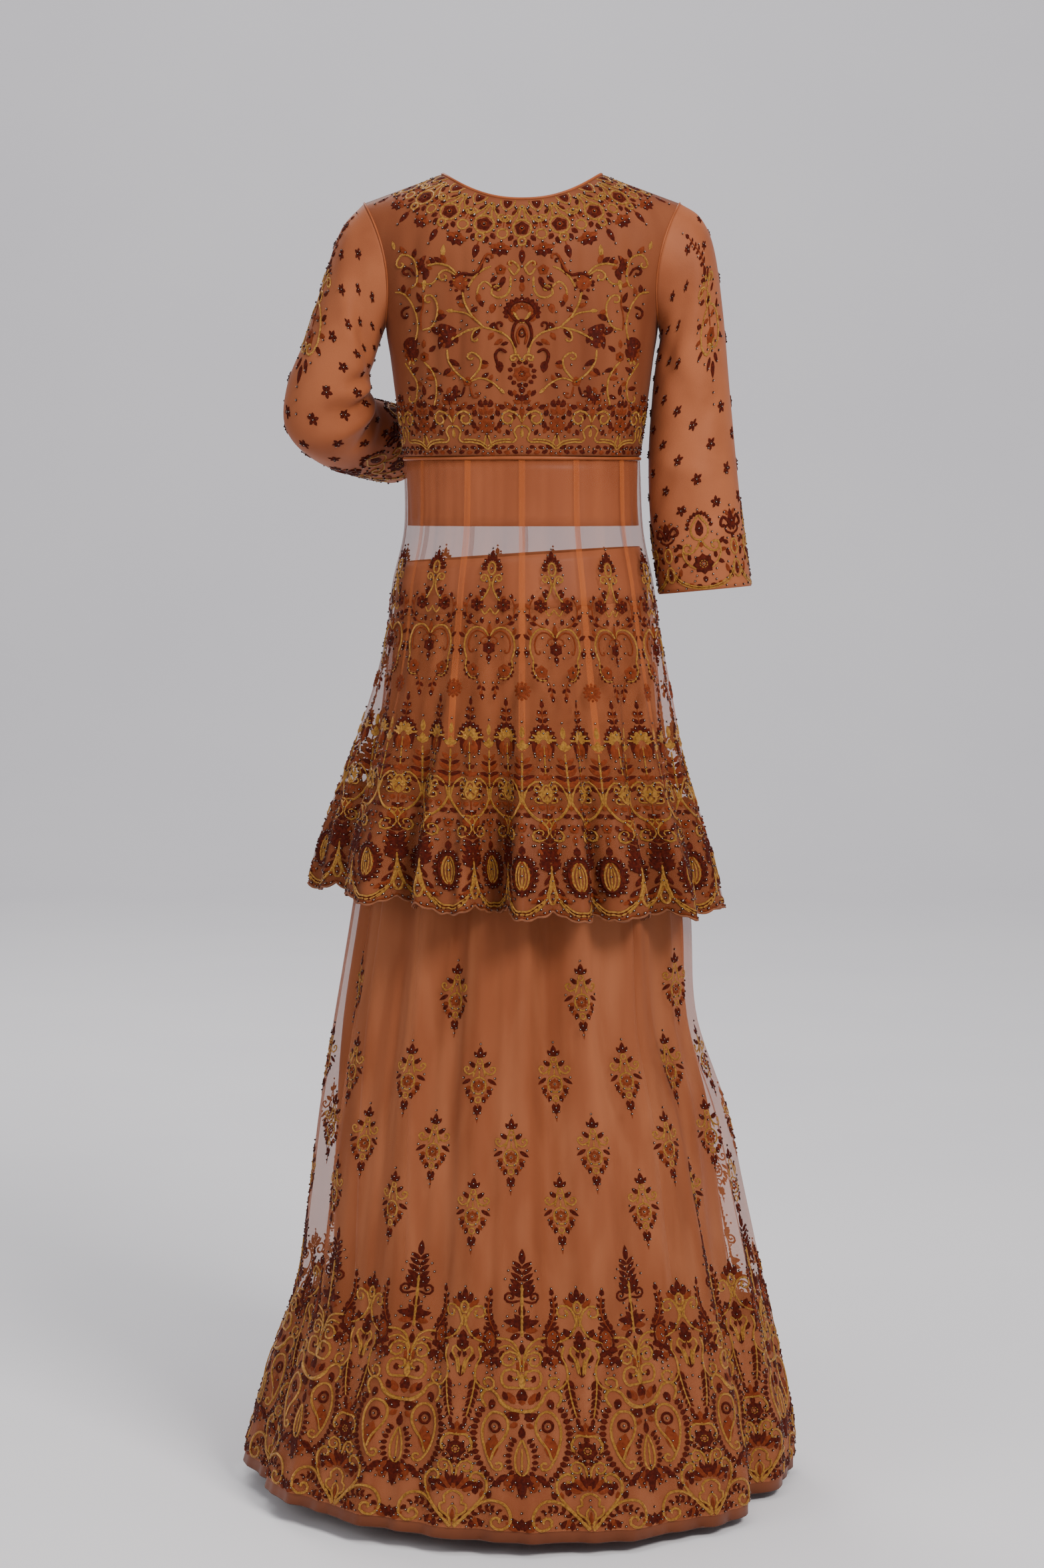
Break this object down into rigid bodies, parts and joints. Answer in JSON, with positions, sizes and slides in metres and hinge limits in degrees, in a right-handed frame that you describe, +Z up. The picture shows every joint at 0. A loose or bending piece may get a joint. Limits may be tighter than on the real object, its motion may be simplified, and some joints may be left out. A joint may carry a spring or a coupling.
{
  "type": "sharara suit, worn",
  "caption": "Fitted net kurti with a flared scalloped peplum, worn over a long flared skirt of net on satin, both embroidered, hollow as if worn.",
  "frame": {"origin": "middle of the shoulder line, between the two neck points, where the wearer's shoulders carry the kurti", "axes": "+Z up; the wearer faces -Y; the wearer's left is +X"},
  "size_m": [0.6551, 0.6354, 1.5284],
  "materials": {
    "satin": "sheeny satin",
    "net": "fine sheer net",
    "embroidered_net": "embroidered net mounted on satin",
    "binding": "satin piping"
  },
  "bodies": {
    "root": {"bodice_back": "embroidered_net", "bodice_front": "embroidered_net", "neck_binding": "binding", "sleeve_left_upper": "embroidered_net", "sleeve_left_lower": "embroidered_net", "sleeve_right": "embroidered_net", "waist_piping": "binding", "midriff_lining": "satin", "peplum_gore_01": "net", "peplum_gore_02": "net", "peplum_gore_03": "net", "peplum_gore_04": "net", "peplum_gore_05": "net", "peplum_gore_06": "net", "peplum_gore_07": "net", "peplum_gore_08": "net", "peplum_gore_09": "net", "peplum_gore_10": "net", "peplum_gore_11": "net", "peplum_gore_12": "net", "peplum_hem_facing": "satin", "skirt_waistband": "satin", "skirt_lining_back": "satin", "skirt_lining_front": "satin", "skirt_net_back": "net", "skirt_net_right": "net", "skirt_net_left": "net", "skirt_hem_facing": "satin"}
  },
  "joints": []
}
